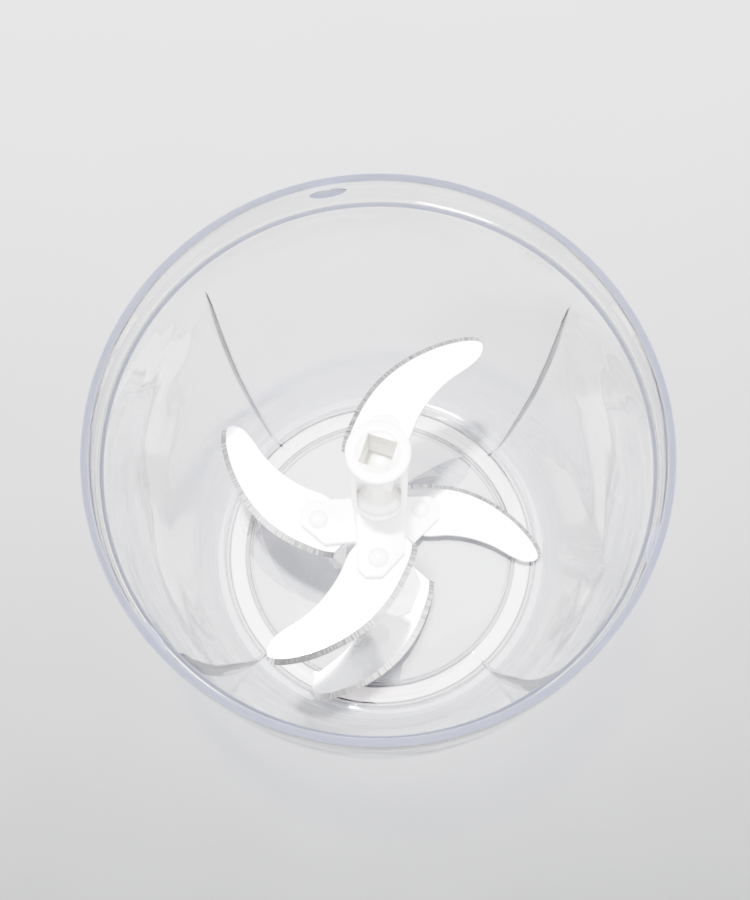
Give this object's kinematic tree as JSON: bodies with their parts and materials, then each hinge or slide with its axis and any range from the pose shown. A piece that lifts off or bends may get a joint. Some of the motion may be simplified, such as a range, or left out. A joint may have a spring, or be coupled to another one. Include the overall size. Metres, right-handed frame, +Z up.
{
  "type": "food chopper bowl with blade unit",
  "caption": "Clear round chopper bowl with a stepped rim, inner ribs and a non-slip base ring; a lift-off cutting unit with swept steel blades turns on a centre pin.",
  "frame": {"origin": "middle of the base, on the surface that the bowl stands on", "axes": "+Z up along the axis of the bowl, the pin and the cutting unit; +X to the right and +Y away, as seen from the front"},
  "size_m": [0.12, 0.12, 0.1016],
  "materials": {
    "clear_plastic": "clear, polished, with a faint blue-violet tint at its edges",
    "silicone": "pale cream, soft satin",
    "steel": "polished faces with fine grinding marks on the cutting bevel",
    "white_plastic": "white, glossy, moulded",
    "bearing_plastic": "natural nylon, matt"
  },
  "bodies": {
    "bowl_body": {"bowl": "clear_plastic", "non_slip_ring": "silicone", "pivot_pin": "steel"},
    "bearing": {"hub_bush": "bearing_plastic"},
    "blade_unit": {"hub_column": "white_plastic", "upper_carrier": "white_plastic", "middle_carrier": "white_plastic", "lower_carrier": "white_plastic", "bottom_carrier": "white_plastic", "upper_spacer": "white_plastic", "lower_spacer": "white_plastic", "blade_1": "steel", "blade_2": "steel", "blade_3": "steel", "blade_4": "steel", "blade_5": "steel", "blade_stud_1": "white_plastic", "blade_stud_2": "white_plastic", "blade_stud_3": "white_plastic", "blade_stud_4": "white_plastic", "blade_stud_5": "white_plastic"}
  },
  "joints": [
    {"name": "blade_unit_lift", "type": "slide", "parent": "bowl_body", "child": "bearing", "axis": [0, 0, 1], "range_m": [0, 0.12]},
    {"name": "blade_unit_spin", "type": "hinge", "parent": "bearing", "child": "blade_unit", "pos_m": [0, 0, 0], "axis": [0, 0, 1], "continuous": true}
  ]
}
